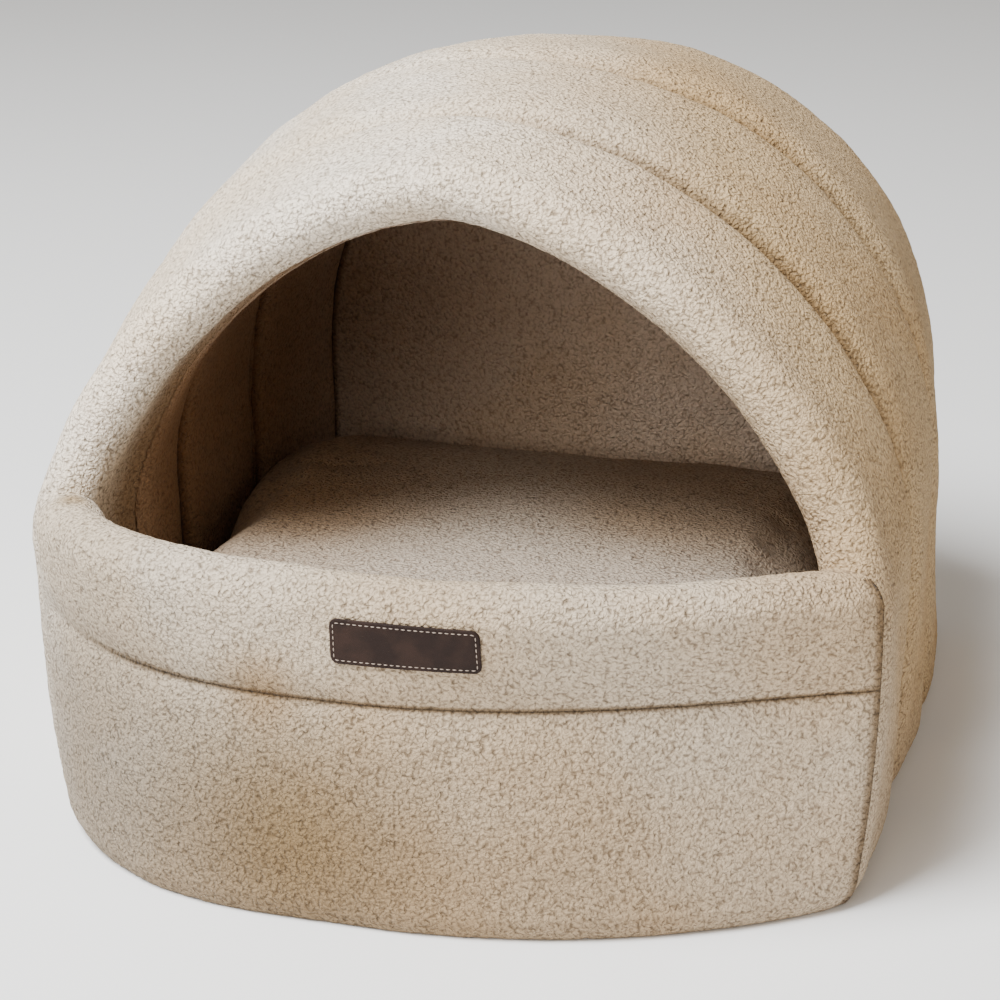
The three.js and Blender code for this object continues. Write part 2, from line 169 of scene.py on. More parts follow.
BACK_SEAM = BACK - 11
BACK_FACE = BACK - HOOD_THICK
BACK_CROWN = 6
BACK_INNER_CROWN = 9
BACK_INSET = HOOD_THICK - INNER_SEAM_DEPTH
BACK_EDGE = SEAM_DEPTH + 9
BACK_MIDDLE = 170
BACK_GAP = 2.5 * CLEAR
BACK_ROUND_STEP = 0.12
# Painted shade round the back panel's edge, where it meets the hood, and where it begins
BACK_SEAM_SHADE = 0.9
BACK_SEAM_SHADE_FROM = 0.95
# Sizes of the rings on a panel's hidden face, as shares of its outline, and its smallest ring
PANEL_CORE = (0.05, 0.5, 0.8)
PANEL_MIDDLE = 0.02

LABEL_WIDE = 76
LABEL_HIGH = 24
LABEL_THICK = 1.6
LABEL_CORNER = 4
LABEL_SIDE = 8
LABEL_HEIGHT = 161
LABEL_LEAST_CORNER = 0.4
LABEL_POINTS = 96
# How far from the label's edge the pile under it is pressed flat, and starts to stand again
LABEL_FADE = (-1, 4)
STITCH_INSET = 2.1
STITCH_PITCH = 3.1
STITCH_LONG = 2.1
STITCH_RADIUS = 0.32
STITCH_HEIGHT = 1.5
# Of its radius, how far a stitch's middle stands up and how far its ends dip below that
STITCH_RISE = 0.5
STITCH_DIP = 0.6
STITCH_END_SIZE = 0.02
STITCH_SIDES = 8
STITCH_RINGS = 7
STITCH_WAY_POINTS = 960
# From the label's edge inward: how far in and how high. The stitches press it down.
LABEL_PROFILE = [
    (0.3, 0.1), (0.05, 0.4), (0, 0.8), (0.15, 1.25), (0.5, 1.52), (1.0, LABEL_THICK),
    (1.6, 1.55), (STITCH_INSET, 1.42), (2.7, 1.58), (3.6, 1.7),
    (5, 1.72), (6.5, 1.72), (8, 1.72), (9.5, 1.72), (11, 1.72),
]

# How far the walls have settled sideways, and at what height
SETTLE = -12
SETTLE_HEIGHT = 400
# The step that finds a line's direction, and a length that stands for none
SLOPE_STEP = 0.003
TINY = 1e-9

# Distances between the rows of points
HOOD_PITCH = 2.5
HOOD_INNER_PITCH = 2.4
HOOD_OUTER_PITCH = 2.45
HOOD_HIDDEN_PITCH = 16
WALL_PITCH = 1.5
WALL_SECTIONS = 372
CUTTER_PITCH = 8
CUTTER_SECTIONS = 90
BACK_PITCH = 3.4
BACK_FLOOR_POINTS = 110
BACK_ROWS = 62
BACK_LINING_ROWS = 64
LINING_PITCH = 2.6
LINING_LEG_PITCH = 3
LINING_ARCH_POINTS = 220
LINING_HIDDEN_PITCH = 14


# Small helpers that work on whole arrays of numbers
def smooth(x, low, high):
    t = np.clip((np.asarray(x, float) - low) / (high - low), 0, 1)
    return t * t * (3 - 2 * t)


def mix(a, b, t):
    return a + (b - a) * t


def together(*values):
    """Numbers and arrays brought to one shape."""
    return np.broadcast_arrays(*[np.asarray(v, float) for v in values])


def unit(v):
    return v / np.maximum(TINY, np.linalg.norm(v, axis=-1, keepdims=True))


def curve_through(values):
    """A smooth curve over depth through a column of the hood's table."""
    at, value = np.array(HOOD_DEPTH, float), np.array(values, float)
    number, last = np.arange(len(at)), len(at) - 1
    before, after = np.maximum(number - 1, 0), np.minimum(number + 1, last)
    slope = (value[after] - value[before]) / (at[after] - at[before])

    def along_depth(depth):
        i = np.clip(np.searchsorted(at, depth, side="left") - 1, 0, last - 1)
        span = at[i + 1] - at[i]
        t = np.clip((depth - at[i]) / span, 0, 1)
        bend = t * (1 - t) * ((1 - t) * slope[i] - t * slope[i + 1]) * span
        return mix(value[i], value[i + 1], t * t * (3 - 2 * t)) + bend

    return along_depth


hood_half = curve_through(HOOD_HALF)
hood_foot = curve_through(HOOD_FOOT)
hood_top = curve_through(HOOD_TOP)
hood_round = curve_through(HOOD_ROUND)
lean_column = curve_through(HOOD_LEAN)


def hood_lean(depth):
    return np.where(depth < PLUMB, lean_column(depth), 0)


def foot_tuck(height):
    return FOOT_ROUND * np.maximum(0, 1 - height / FOOT_RISE) ** 2


# A sewn groove's bottom is rounded by its cloth over this many millimetres.
SOFT = 1.4


def groove(distance, depth, reach):
    near = np.sqrt(np.square(distance) + SOFT * SOFT) - SOFT
    return depth * np.maximum(0, 1 - near / reach) ** 3


def along_at(height):
    return 1 - (1 - ARCH_SHARE) * height / SPRING


def hood_line(along, depth):
    """The hood's outer line seen from the front.
    along goes from -1 at the left foot to 1 at the right one."""
    side, a = np.where(along < 0, -1.0, 1.0), np.abs(along)
    half = hood_half(depth)
    height = SPRING * (1 - a) / (1 - ARCH_SHARE)
    leg = half - (half - hood_foot(depth)) * (1 - np.minimum(height, SPRING) / SPRING) ** 2
    turn = np.pi / 2 * np.minimum(a / ARCH_SHARE, 1)
    bow = hood_round(depth)
    arch = half * np.sin(turn) ** bow
    rise = SPRING + (hood_top(depth) - SPRING) * np.maximum(0, np.cos(turn)) ** bow
    legs = a > ARCH_SHARE
    return side * np.where(legs, leg, arch), np.where(legs, height, rise)


def hood_point(along, depth, inset):
    """A point in the hood's padding, inset inward from the outer line."""
    along, depth, inset = together(along, depth, inset)
    x, z = hood_line(along, depth)
    xa, za = hood_line(along + SLOPE_STEP, depth)
    xb, zb = hood_line(along - SLOPE_STEP, depth)
    length = np.maximum(TINY, np.hypot(xa - xb, za - zb))
    arch = np.abs(along) < ARCH_SHARE
    inward_x = np.where(arch, (za - zb) / length, -np.sign(along))
    inward_z = np.where(arch, -(xa - xb) / length, 0)
    tucked = inset + foot_tuck(z) * (1 - inset / HOOD_THICK)
    lift = np.where(arch, np.cos(np.pi / 2 * np.abs(along) / ARCH_SHARE), 0)
    y = depth + hood_lean(depth) * lift
    return np.stack([x + inward_x * tucked, y, z + inward_z * tucked], -1)


def outer_inset(depth):
    """How deep the sewn seams draw in the hood's outer face."""
    seams = (SEAM_A, SEAM_B, BACK_SEAM)
    return sum(groove(depth - seam, SEAM_DEPTH, SEAM_REACH) for seam in seams)


def inner_inset(depth):
    thick = mix(2 * RIM_RADIUS, HOOD_THICK, smooth(depth, RIM, RIM + RIM_TO_FULL))
    return thick - INNER_SEAM_DEPTH * inner_crease(depth)


def inner_crease(depth):
    """1 on the seams inside the hood and in its corner at the back, 0 away from them."""
    at = np.minimum(depth, BACK_FACE)
    return sum(groove(at - seam, 1, INNER_SEAM_REACH) for seam in (SEAM_A, SEAM_B, BACK_FACE))


def rim_point(along, share):
    """The rolled front edge: share 0 inside, 1 outside."""
    turn = np.pi * (1 - share)
    height = hood_line(along, np.full_like(along, RIM))[1]
    low = 1 - smooth(height, CORNER_TOP, CORNER_TOP + CORNER_FADE)
    reach = mix(RIM_RADIUS, CORNER_REACH, low)
    p = hood_point(along, RIM, RIM_RADIUS * (1 - np.cos(turn)))
    p[..., 1] -= reach * np.maximum(0, np.sin(turn)) ** mix(1, CORNER_ROUND, low)
    return p


def wall_line(across, height):
    taper = np.maximum(0, 1 - height / WALL_TAPER_HEIGHT) ** 2
    half = mix(WALL_HALF, WALL_HALF_FOOT, taper)
    upper = smooth(height, WALL_SEAM, WALL_TOP)
    skew = mix(WALL_SKEW, WALL_SKEW_TOP, upper)
    t = np.abs(across + skew * (1 - across * across))
    lower = mix(WALL_FULLNESS_FOOT, WALL_FULLNESS, smooth(height, 0, WALL_SEAM))
    fullness = mix(lower, WALL_FULLNESS_TOP, upper)
    return WALL_SHIFT + half * across, WALL_END - WALL_BOW * (1 - t ** fullness)


def wall_point(across, height, inset):
    """A point in the front wall's padding, mitred at the ends.
    across goes from -1 at the left end to 1 at the right one."""
    across, height, inset = together(across, height, inset)
    xa, ya = wall_line(across + SLOPE_STEP, height)
    xb, yb = wall_line(across - SLOPE_STEP, height)
    tangent = unit(np.stack([xa - xb, ya - yb], -1))
    inward = np.stack([-tangent[..., 1], tangent[..., 0]], -1)
    mitre = np.stack([MITRE[0] * np.sign(across), np.full(across.shape, MITRE[1])], -1)
    inward = mix(inward, mitre, smooth(np.abs(across), WALL_TURN, 1)[..., None])
    x, y = wall_line(across, height)
    upper = smooth(height, WALL_SEAM, WALL_TOP)
    raised = WALL_END_RISE * np.abs(across) ** WALL_END_RISE_POWER * upper
    x, y = x + inward[..., 0] * inset, y + inward[..., 1] * inset
    return np.stack([x, y, height + raised], -1)


def wall_inset(across, height):
    seam = groove(height - WALL_SEAM, WALL_SEAM_DEPTH, WALL_SEAM_REACH)
    flat = smooth(np.abs(across), *WALL_SEAM_FADE)
    pinch = smooth(np.abs(across), *WALL_PINCH_FADE)
    return seam * (1 - flat) + WALL_END_PINCH * pinch + foot_tuck(height)


# Noise over space, worked out for whole arrays of points. Large numbers scramble a cell's
# place and a seed into one whole number, whose last bits give the noise.
PLACE_FACTORS = (73856093, 19349663, 83492791)
SEED_FACTOR = 2654435761
SCRAMBLES = ((13, 1274126177), (16, 2246822519))
LAST_SHIFT = 15
WHOLE = 0xFFFFFFFF
LAST_BITS = 0xFFFFFF


def chance(cell, seed):
    """A number from 0 to 1 for each whole-number cell."""
    place = cell.astype(np.int64)
    number = seed * SEED_FACTOR
    for axis, factor in enumerate(PLACE_FACTORS):
        number = number ^ (place[..., axis] * factor)
    for shift, factor in SCRAMBLES:
        number = (number ^ (number >> shift)) * factor & WHOLE
    return ((number ^ (number >> LAST_SHIFT)) & LAST_BITS) / LAST_BITS


def swell(points, size, seed):
    """Smooth noise from -1 to 1, with swells about size across."""
    q = points / size
    low = np.floor(q)
    f = q - low
    f = f * f * (3 - 2 * f)
    total = np.zeros(points.shape[:-1])
    for corner in np.ndindex(2, 2, 2):
        weight = np.prod(np.where(np.array(corner) == 1, f, 1 - f), axis=-1)
        total += weight * chance(low + np.array(corner), seed)
    return total * 2 - 1


# More than the square of any distance to the nearest lump, in cells
FAR = 9.0


def curls(points, size, seed):
    """Rounded lumps about size across, as the curls of a short pile lie.
    They give 0 between the lumps and 1 on top of them."""
    q = points / size
    low = np.floor(q)
    nearest = np.full(points.shape[:-1], FAR)
    for corner in np.ndindex(3, 3, 3):
        cell = low + np.array(corner) - 1
        seat = cell + np.stack([chance(cell, seed + k) for k in range(3)], -1)
        nearest = np.minimum(nearest, np.sum((q - seat) ** 2, axis=-1))
    return np.sqrt(np.clip(1 - nearest, 0, 1))


# Mesh making
def normals(grid, round_second=False):
    """Normals of a grid of points, from its neighbours."""
    a = np.gradient(grid, axis=0)
    if round_second:
        b = (np.roll(grid, -1, axis=1) - np.roll(grid, 1, axis=1)) / 2
    else:
        b = np.gradient(grid, axis=1)
    return unit(np.cross(a, b))


def settled(points):
    """The walls have settled a little to the left, and the origin moves to the bed's middle."""
    p = np.array(points, float)
    p[..., 0] += SETTLE * (p[..., 2] / SETTLE_HEIGHT) ** 2
    return (p - MIDDLE) * MM


def add_mesh(name, points, faces):
    mesh = bpy.data.meshes.new(name)
    mesh.from_pydata(points.tolist(), [], faces)
    mesh.validate()
    mesh.shade_smooth()
    obj = bpy.data.objects.new(name, mesh)
    bpy.context.scene.collection.objects.link(obj)
    return obj


def loft(name, rings, seam_shade=0.0, deep=0.0):
    """A body whose closed outline runs along the second direction, closed at both ends.
    Its seam mark gives the painted shade along its sewn seams, and deep how far inside the bed
    it lies, both from 0 to 1."""
    n, m = rings.shape[:2]
    i, j = np.meshgrid(np.arange(n - 1), np.arange(m), indexing="ij")
    k = (j + 1) % m
    corners = [i * m + j, i * m + k, (i + 1) * m + k, (i + 1) * m + j]
    faces = np.stack(corners, -1).reshape(-1, 4).tolist()
    faces.append(list(range(m))[::-1])
    faces.append([(n - 1) * m + v for v in range(m)])
    obj = add_mesh(name, settled(rings.reshape(-1, 3)), faces)
    turn_out(obj)
    # Marks for the painted shade along the seams and inside the bed
    for title, values in (("seam_shade", seam_shade), ("deep", deep)):
        marks = obj.data.attributes.new(title, "FLOAT", "POINT")
        marks.data.foreach_set("value", np.array(np.broadcast_to(values, (n, m)), float).ravel())
    return obj


def turn_out(obj):
    """Turns every face outward, and splits the flat ends into triangles."""
    body = bmesh.new()
    body.from_mesh(obj.data)
    bmesh.ops.triangulate(body, faces=[f for f in body.faces if len(f.verts) > 4])
    bmesh.ops.recalc_face_normals(body, faces=body.faces)
    body.to_mesh(obj.data)
    body.free()
    obj.data.shade_smooth()


def apply_modifiers(obj):
    seen = obj.evaluated_get(bpy.context.evaluated_depsgraph_get())
    mesh = bpy.data.meshes.new_from_object(seen)
    obj.modifiers.clear()
    obj.data = mesh


def vertex_values(obj, title):
    """The place of every vertex, with the title co, or its normal."""
    values = np.empty(len(obj.data.vertices) * 3)
    obj.data.vertices.foreach_get(title, values)
    return values.reshape(-1, 3)


def steps(start, end, pitch):
    """Even steps from start to end, no further apart than pitch."""
    count = max(2, int(math.ceil(abs(end - start) / pitch)) + 1)
    return np.linspace(start, end, count)


# The curly pile: height, width and seed of its curls, and how deep they sit in the cloth
PILE = 0.75
CURL = 5.2
CURL_SEED = 3
CURL_SINK = 0.55
# How far the curls' places drift, over what width, and a seed for each direction
DRIFT = 2.2
DRIFT_WIDE = 9
DRIFT_SEEDS = (11, 12, 13)
# Width, height and seed of the finest unevenness, and of the soft swells of the padding
FINEST = (3.2, 0.35, 21)
PADDING_SWELLS = [(70, 1.6, 31), (28, 0.7, 32)]


def pile(points, out, strength=1.0):
    """Lays the curly pile on a surface: lumps of curls, softly uneven, that stand out of it."""
    drift = np.stack([swell(points, DRIFT_WIDE, seed) for seed in DRIFT_SEEDS], -1) * DRIFT
    lump = curls(points + drift, CURL, CURL_SEED) - CURL_SINK
    wide, high, seed = FINEST
    fine = swell(points, wide, seed) * high
    soft = sum(swell(points, wide, seed) * high for wide, high, seed in PADDING_SWELLS)
    height = (PILE * (lump + fine) + soft) * strength
    return points + out * height[..., None]


# The hood
def hood_stations(pitch):
    leg = along_at(steps(0, SPRING, pitch))
    arch = np.linspace(-ARCH_SHARE, ARCH_SHARE, int(2 * ARCH_HALF_LONG / pitch))
    return np.concatenate([-leg, arch[1:-1], leg[::-1]])


def make_hood():
    along = hood_stations(HOOD_PITCH)[:, None]
    inner = steps(LINING_START - LINING_LAP, RIM, HOOD_INNER_PITCH)[None, :]
    roll = steps(0, 1, HOOD_INNER_PITCH / (math.pi * RIM_RADIUS))[None, 1:-1]
    outer = steps(RIM, BACK_SEAM, HOOD_OUTER_PITCH)[None, :]
    drawn = mix(*SEAM_DRAWN, smooth(along, *SEAM_DRAWN_FROM))
    fine = np.concatenate([
        hood_point(along, inner, inner_inset(inner)),
        rim_point(*np.broadcast_arrays(along, roll)),
        hood_point(along, outer, outer_inset(outer) * drawn),
    ], axis=1)
    out = normals(fine)
    padding = hood_point(along, RIM + HOOD_THICK / 2, HOOD_THICK / 2)
    out *= np.sign(np.sum(out * (fine - padding), axis=-1).mean())
    seam_x, seam_y = wall_line(1.0, fine[..., 2])
    away = np.hypot(fine[..., 0] - seam_x, fine[..., 1] - seam_y)
    corner = 1 - smooth(away, 0, CORNER_SEAM_REACH)
    fine = pile(fine - out * (CORNER_VALLEY * corner)[..., None], out)
    fine[..., 2] = np.maximum(fine[..., 2], 0)
    hidden = steps(BACK_FACE - CLEAR, LINING_START, HOOD_HIDDEN_PITCH)[None, :]
    behind = hood_point(along, hidden, inner_inset(hidden) - LINING_ROOM)
    rings = np.concatenate([behind, fine], axis=1)
    first = hidden.shape[1]
    # Painted shade along the hood's sewn seams, following their depth, and in the crease at the
    # wall's right end
    seam_shade = np.zeros(rings.shape[:2])
    shaded = mix(*SEAM_PAINTED_SHADE, smooth(along, *SEAM_PAINTED_SHADE_FROM))
    seam_shade[:, -outer.shape[1]:] = outer_inset(outer) / SEAM_DEPTH * shaded
    seam_shade[:, first:] = np.maximum(seam_shade[:, first:], CORNER_SEAM_SHADE * corner)
    # deep rises over the rim's turned-in cloth, where it paints shade inside the bed, and is 1 on
    # the hidden rows
    deep = np.zeros(rings.shape[:2])
    deep[:, :first] = 1
    fade = smooth(inner, RIM - RIM_INSIDE_SHADE_WIDE, LINING_START - RIM_INSIDE_SHADE_WIDE)
    deep[:, first:first + inner.shape[1]] = fade
    hood = loft("hood_cloth", rings, seam_shade, deep)
    cut_out(hood, wall_rings(CUTTER_SECTIONS, CUTTER_PITCH, CLEAR)[0])
    return hood


def cut_out(obj, rings):
    """Cuts the body made of rings out of a piece."""
    cutter = loft("cutter", rings)
    cut = obj.modifiers.new("cut", "BOOLEAN")
    cut.operation = "DIFFERENCE"
    cut.solver = "MANIFOLD"
    cut.object = cutter
    apply_modifiers(obj)
    bpy.data.objects.remove(cutter)


def wall_rings(count, pitch, grow=0.0):
    """Sections of the front wall from end to end: up its face, over the top and down inside.
    Also gives how far across each section stands, and the heights of its points up the face."""
    even = np.linspace(-1, 1, count)
    across = even * (1 + WALL_CROWDING * (1 - even * even))
    across = (across * (1 + END_GROWTH * grow / WALL_HALF))[:, None]
    radius = WALL_THICK / 2 + grow
    centre = WALL_TOP - WALL_THICK / 2
    up = steps(0, centre, pitch)[None, :]
    face = wall_point(across, up, wall_inset(across, up) - grow)
    turn = steps(0, math.pi, pitch / radius)[None, 1:]
    share = turn / math.pi
    inset = wall_inset(across, centre) * (1 - share) - grow + radius * (1 - np.cos(turn))
    roll = wall_point(across, centre + radius * np.sin(turn), inset)
    inner = wall_point(across, steps(centre, 0, pitch)[None, 1:], WALL_THICK + grow)
    rings = np.concatenate([face, roll, inner], axis=1)
    rings[:, [0, -1], 2] -= GROWTH_BELOW * grow
    return rings, across, up


def make_front_wall():
    rings, across, up = wall_rings(WALL_SECTIONS, WALL_PITCH)
    rows, face_rows = rings.shape[1], up.shape[1]
    out = normals(rings)
    # Low on the middle of its face, the wall looks toward the front.
    out *= -np.sign(out[len(out) // 2, face_rows // 10, 1])
    sideways = np.abs(rings[..., 0] - WALL_SHIFT - LABEL_SIDE) - LABEL_WIDE / 2
    upward = np.abs(rings[..., 2] - LABEL_HEIGHT) - LABEL_HIGH / 2
    under_label = 1 - smooth(np.maximum(sideways, upward), *LABEL_FADE)
    ends = smooth(np.abs(across), *END_FADE)
    rings = pile(rings, out, (1 - under_label) * (1 - END_FLATTER * ends))
    rings += out * (END_SWELL * ends)[..., None]
    rings[..., 2] = np.maximum(rings[..., 2], 0)
    low = rows - face_rows + int(np.sum(up > HIDDEN_HEIGHT))
    kept = np.r_[0:low, low:rows - 1:HIDDEN_STRIDE, rows - 1]
    # Painted shade along the wall's seam and in the crease at its right end, over its face and
    # the first rows of its roll
    seam_shade = np.zeros(rings.shape[:2])
    end = END_SEAM_SHADE * smooth(across, *END_SEAM_SHADE_FROM)
    seam_shade[:, :face_rows + END_SEAM_SHADE_ROLL_ROWS] = end
    sewn = groove(up - WALL_SEAM, 1, WALL_SEAM_SHADE_REACH) * smooth(across, *WALL_SEAM_SHADE_FROM)
    seam_shade[:, :face_rows] = np.maximum(sewn, end)
    return loft("front_wall_cloth", rings[:, kept], seam_shade[:, kept])


def panel_ring(along, bottom, depth, inset, foot, size, crown):
    """Once round the back: over the arch from the left foot to the right, and back below."""
    end = along_at(foot)
    arch = hood_point(np.clip(along, -end, end), depth, inset)
    right, left = hood_point(end, depth, inset), hood_point(-end, depth, inset)
    floor = mix(right, left, bottom[:, None])
    ring = np.concatenate([arch, floor])
    ring[:, 0] *= size
    ring[:, 2] = mix(BACK_MIDDLE, ring[:, 2], size)
    ring[:, 1] += crown * (1 - size * size)
    return ring


def make_back(name, rows, fine_from):
    """A panel made of rings drawn in toward its middle.
    Each row gives a ring's depth, inset, foot height, size and crown, and the rows from
    fine_from on carry the pile."""
    along = hood_stations(BACK_PITCH)
    bottom = np.linspace(0, 1, BACK_FLOOR_POINTS)[1:-1]
    rings = np.stack([panel_ring(along, bottom, *row) for row in rows])
    out = normals(rings, round_second=True)
    side = np.sign(out[-2, 0, 1]) or 1.0
    facing = 1.0 if rows[-1][0] > BACK_SEAM else -1.0
    lift = np.zeros(len(rows))
    lift[fine_from:] = 1
    hairy = pile(rings, out * side * facing)
    rings = mix(rings, hairy, lift[:, None, None])
    rings[..., 2] = np.maximum(rings[..., 2], 0)
    size = np.array([row[3] for row in rows])[:, None]
    inset = np.array([row[1] for row in rows])[:, None]
    sewn = 1 - smooth(inset, rows[fine_from - 1][1], rows[-1][1] + CLEAR)
    # Painted shade round the panel's edge, where it meets the hood
    seam_shade = np.where(size < 1, smooth(size, BACK_SEAM_SHADE_FROM, 1), 1) * (sewn if facing > 0 else 1)
    return loft(name, rings, BACK_SEAM_SHADE * seam_shade, float(facing < 0))


def make_back_panel():
    face = BACK_FACE + BACK_GAP
    edge = BACK_SEAM + BACK_GAP
    rows = [(face, BACK_INSET, FOOT_RISE, size, -BACK_INNER_CROWN) for size in PANEL_CORE]
    rows += [(face, BACK_INSET, 0, 1.0, 0), (edge, SEAM_DEPTH, 0, 1.0, 0)]
    fine_from = len(rows)
    for turn in steps(BACK_ROUND_STEP, 1, BACK_ROUND_STEP) * math.pi / 2:
        depth = edge + (BACK - edge) * math.sin(turn)
        rows.append((depth, mix(SEAM_DEPTH, BACK_EDGE, 1 - math.cos(turn)), 0, 1.0, 0))
    sizes = np.linspace(1, PANEL_MIDDLE, BACK_ROWS)[1:]
    rows += [(BACK, BACK_EDGE, 0, size, BACK_CROWN) for size in sizes]
    return make_back("back_cloth", rows, fine_from)


def make_back_lining():
    rear = BACK_FACE + CLEAR / 2
    front = rear - LINING
    outer, inner = inner_inset(rear) + CLEAR, inner_inset(front) + CLEAR
    rows = [(rear, outer, FOOT_RISE, size, -BACK_INNER_CROWN) for size in (*PANEL_CORE, 1.0)]
    fine_from = len(rows)
    sizes = np.linspace(1, PANEL_MIDDLE, BACK_LINING_ROWS)
    rows += [(front, inner, FOOT_RISE, size, -BACK_INNER_CROWN) for size in sizes]
    return make_back("back_lining_cloth", rows, fine_from)


CABIN_MIDDLE = np.array([0, 200, 120])
LINING_PILE = 0.8


def make_hood_lining():
    leg = along_at(steps(FOOT_RISE, SPRING, LINING_LEG_PITCH))
    arch = np.linspace(-ARCH_SHARE, ARCH_SHARE, LINING_ARCH_POINTS)
    along = np.concatenate([-leg, arch[1:-1], leg[::-1]])[:, None]
    depth = steps(LINING_START, BACK_FACE - CLEAR, LINING_PITCH)[None, :]
    inside = hood_point(along, depth, inner_inset(depth))
    out = normals(inside)
    out *= np.sign(np.sum(out * (CABIN_MIDDLE - inside), axis=-1).mean())
    inside = pile(inside, out, LINING_PILE)
    hidden = steps(BACK_FACE - CLEAR, LINING_START, LINING_HIDDEN_PITCH)[None, :]
    outside = hood_point(along, hidden, inner_inset(hidden) - LINING)
    rings = np.concatenate([inside, outside], axis=1)
    rows = np.concatenate([depth, hidden], axis=1)
    # Painted shade along the lining's seams and in its corner at the back; deep gives it the
    # lining's own colour
    return loft("hood_lining_cloth", rings, inner_crease(rows), 1.0)


BASE_WELD = 1e-5
BASE_FLAT = math.radians(1)
BASE_SHARP = math.radians(50)
BASE_ROUND = 4
BASE_ROUND_STEPS = 4


def make_base():
    """The flat panel under the cushion, with its edges rolled over."""
    obj = bpy.data.objects.new("base_cloth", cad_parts["base"].data.copy())
    bpy.context.scene.collection.objects.link(obj)
    body = bmesh.new()
    body.from_mesh(obj.data)
    bmesh.ops.remove_doubles(body, verts=body.verts, dist=BASE_WELD)
    bmesh.ops.dissolve_limit(body, angle_limit=BASE_FLAT, verts=body.verts, edges=body.edges)
    closed = [e for e in body.edges if len(e.link_faces) == 2]
    bmesh.ops.bevel(
        body, geom=[e for e in closed if e.calc_face_angle() > BASE_SHARP],
        offset=BASE_ROUND * MM, segments=BASE_ROUND_STEPS, profile=0.5, affect="EDGES")
    body.to_mesh(obj.data)
    body.free()
    obj.data.shade_smooth()
    return obj


# The cushion's solid is blown up as a growing cloth, shaped, and then its pile is laid on.
CUSHION_VOXEL = 6
CUSHION_FRAMES = 20
CUSHION_PRESSURE = 4
CUSHION_GROWTH = -0.03
# How far the cloth may move sideways and upward, and the heights in metres where it starts
CUSHION_ASIDE = 2
CUSHION_UP = 7
CUSHION_RISES = (0.06, 0.12)
# Heights between which its top, its lumps, its flank and its pile begin
CUSHION_TOP = (80, 115)
CUSHION_LUMPED = (60, 115)
CUSHION_FLANKED = (75, 110)
CUSHION_PILED = (25, 60)
CUSHION_PILE = 0.9
# Width, seed and height of the swells on its top
CUSHION_SWELL = (85, 41, 2.5)
# Soft puckers on the cushion's top: middle, direction in degrees, length, width and depth.
# They end more sharply along their length.
PUCKER_ENDS = 3
CUSHION_PUCKERS = [
    (-127, 198, 18, 60, 9, 2.4),
    (60, 318, -6, 80, 9, 3.0),
    (-30, 300, 5, 70, 10, 2.0),
    (120, 290, -28, 46, 8, 2.6),
]
# Its left flank, between these distances from the middle, bulges by this much at one depth
# and is drawn in at another: depth, reach and way.
CUSHION_FLANK = 9
FLANK_FROM = (110, 170)
FLANK_BENDS = [(235, 70, -1), (95, 50, 1)]
# Where its filling has moved to and away from: middle, reach across and back, and height
CUSHION_LUMPS = [
    (-172, 205, 40, 95, 9),
    (-80, 325, 120, 60, -15),
    (95, 325, 110, 60, -13),
]


def fill_out(obj):
    """Lets the cushion's cloth grow under pressure, as far as the bed leaves room for it."""
    start = vertex_values(obj, "co")
    cloth = obj.modifiers.new("cloth", "CLOTH")
    cloth.settings.use_pressure = True
    cloth.settings.uniform_pressure_force = CUSHION_PRESSURE
    cloth.settings.shrink_min = CUSHION_GROWTH
    cloth.settings.effector_weights.gravity = 0
    for number in range(1, CUSHION_FRAMES + 1):
        bpy.context.scene.frame_set(number)
    apply_modifiers(obj)
    bpy.context.scene.frame_set(1)
    moved = vertex_values(obj, "co") - start
    upper = smooth(start[:, 2], *CUSHION_RISES)
    aside = CUSHION_ASIDE * MM
    moved[:, :2] = np.clip(moved[:, :2], -aside, aside)
    moved[:, 2] = np.clip(moved[:, 2], 0, CUSHION_UP * MM) * upper
    obj.data.vertices.foreach_set("co", (start + moved).ravel())


def move_filling(points):
    """Puckers the cushion's top, and moves its filling about inside it."""
    top = smooth(points[:, 2], *CUSHION_TOP)
    for x, y, turn, long, wide, deep in CUSHION_PUCKERS:
        c, s = math.cos(math.radians(turn)), math.sin(math.radians(turn))
        dx, dy = points[:, 0] - x, points[:, 1] - y
        u, v = (dx * c + dy * s) / long, (dy * c - dx * s) / wide
        points[:, 2] -= deep * top * np.exp(-u * u * PUCKER_ENDS - v * v)
    flank = smooth(points[:, 2], *CUSHION_FLANKED) * smooth(-points[:, 0], *FLANK_FROM)
    for y, reach, way in FLANK_BENDS:
        bend = np.exp(-((points[:, 1] - y) / reach) ** 2)
        points[:, 0] += way * CUSHION_FLANK * flank * bend
    for x, y, wide, long, high in CUSHION_LUMPS:
        u, v = (points[:, 0] - x) / wide, (points[:, 1] - y) / long
        lumped = smooth(points[:, 2], *CUSHION_LUMPED)
        points[:, 2] += high * lumped * np.exp(-u * u - v * v)
    wide, seed, high = CUSHION_SWELL
    points[:, 2] += top * swell(points, wide, seed) * high


def make_cushion():
    obj = bpy.data.objects.new("cushion_cloth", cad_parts["cushion"].data.copy())
    bpy.context.scene.collection.objects.link(obj)
    remesh = obj.modifiers.new("even", "REMESH")
    remesh.mode = "VOXEL"
    remesh.voxel_size = CUSHION_VOXEL * MM
    apply_modifiers(obj)
    fill_out(obj)
    finer = obj.modifiers.new("finer", "SUBSURF")
    finer.levels = finer.render_levels = 1
    apply_modifiers(obj)
    points = vertex_values(obj, "co") / MM + MIDDLE
    out = vertex_values(obj, "normal")
    move_filling(points)
    points = pile(points, out, CUSHION_PILE * smooth(points[:, 2], *CUSHION_PILED))
    points[:, 2] = np.maximum(points[:, 2], FOOT_RISE)
    obj.data.vertices.foreach_set("co", ((points - MIDDLE) * MM).ravel())
    obj.data.update()
    obj.data.shade_smooth()
    return obj


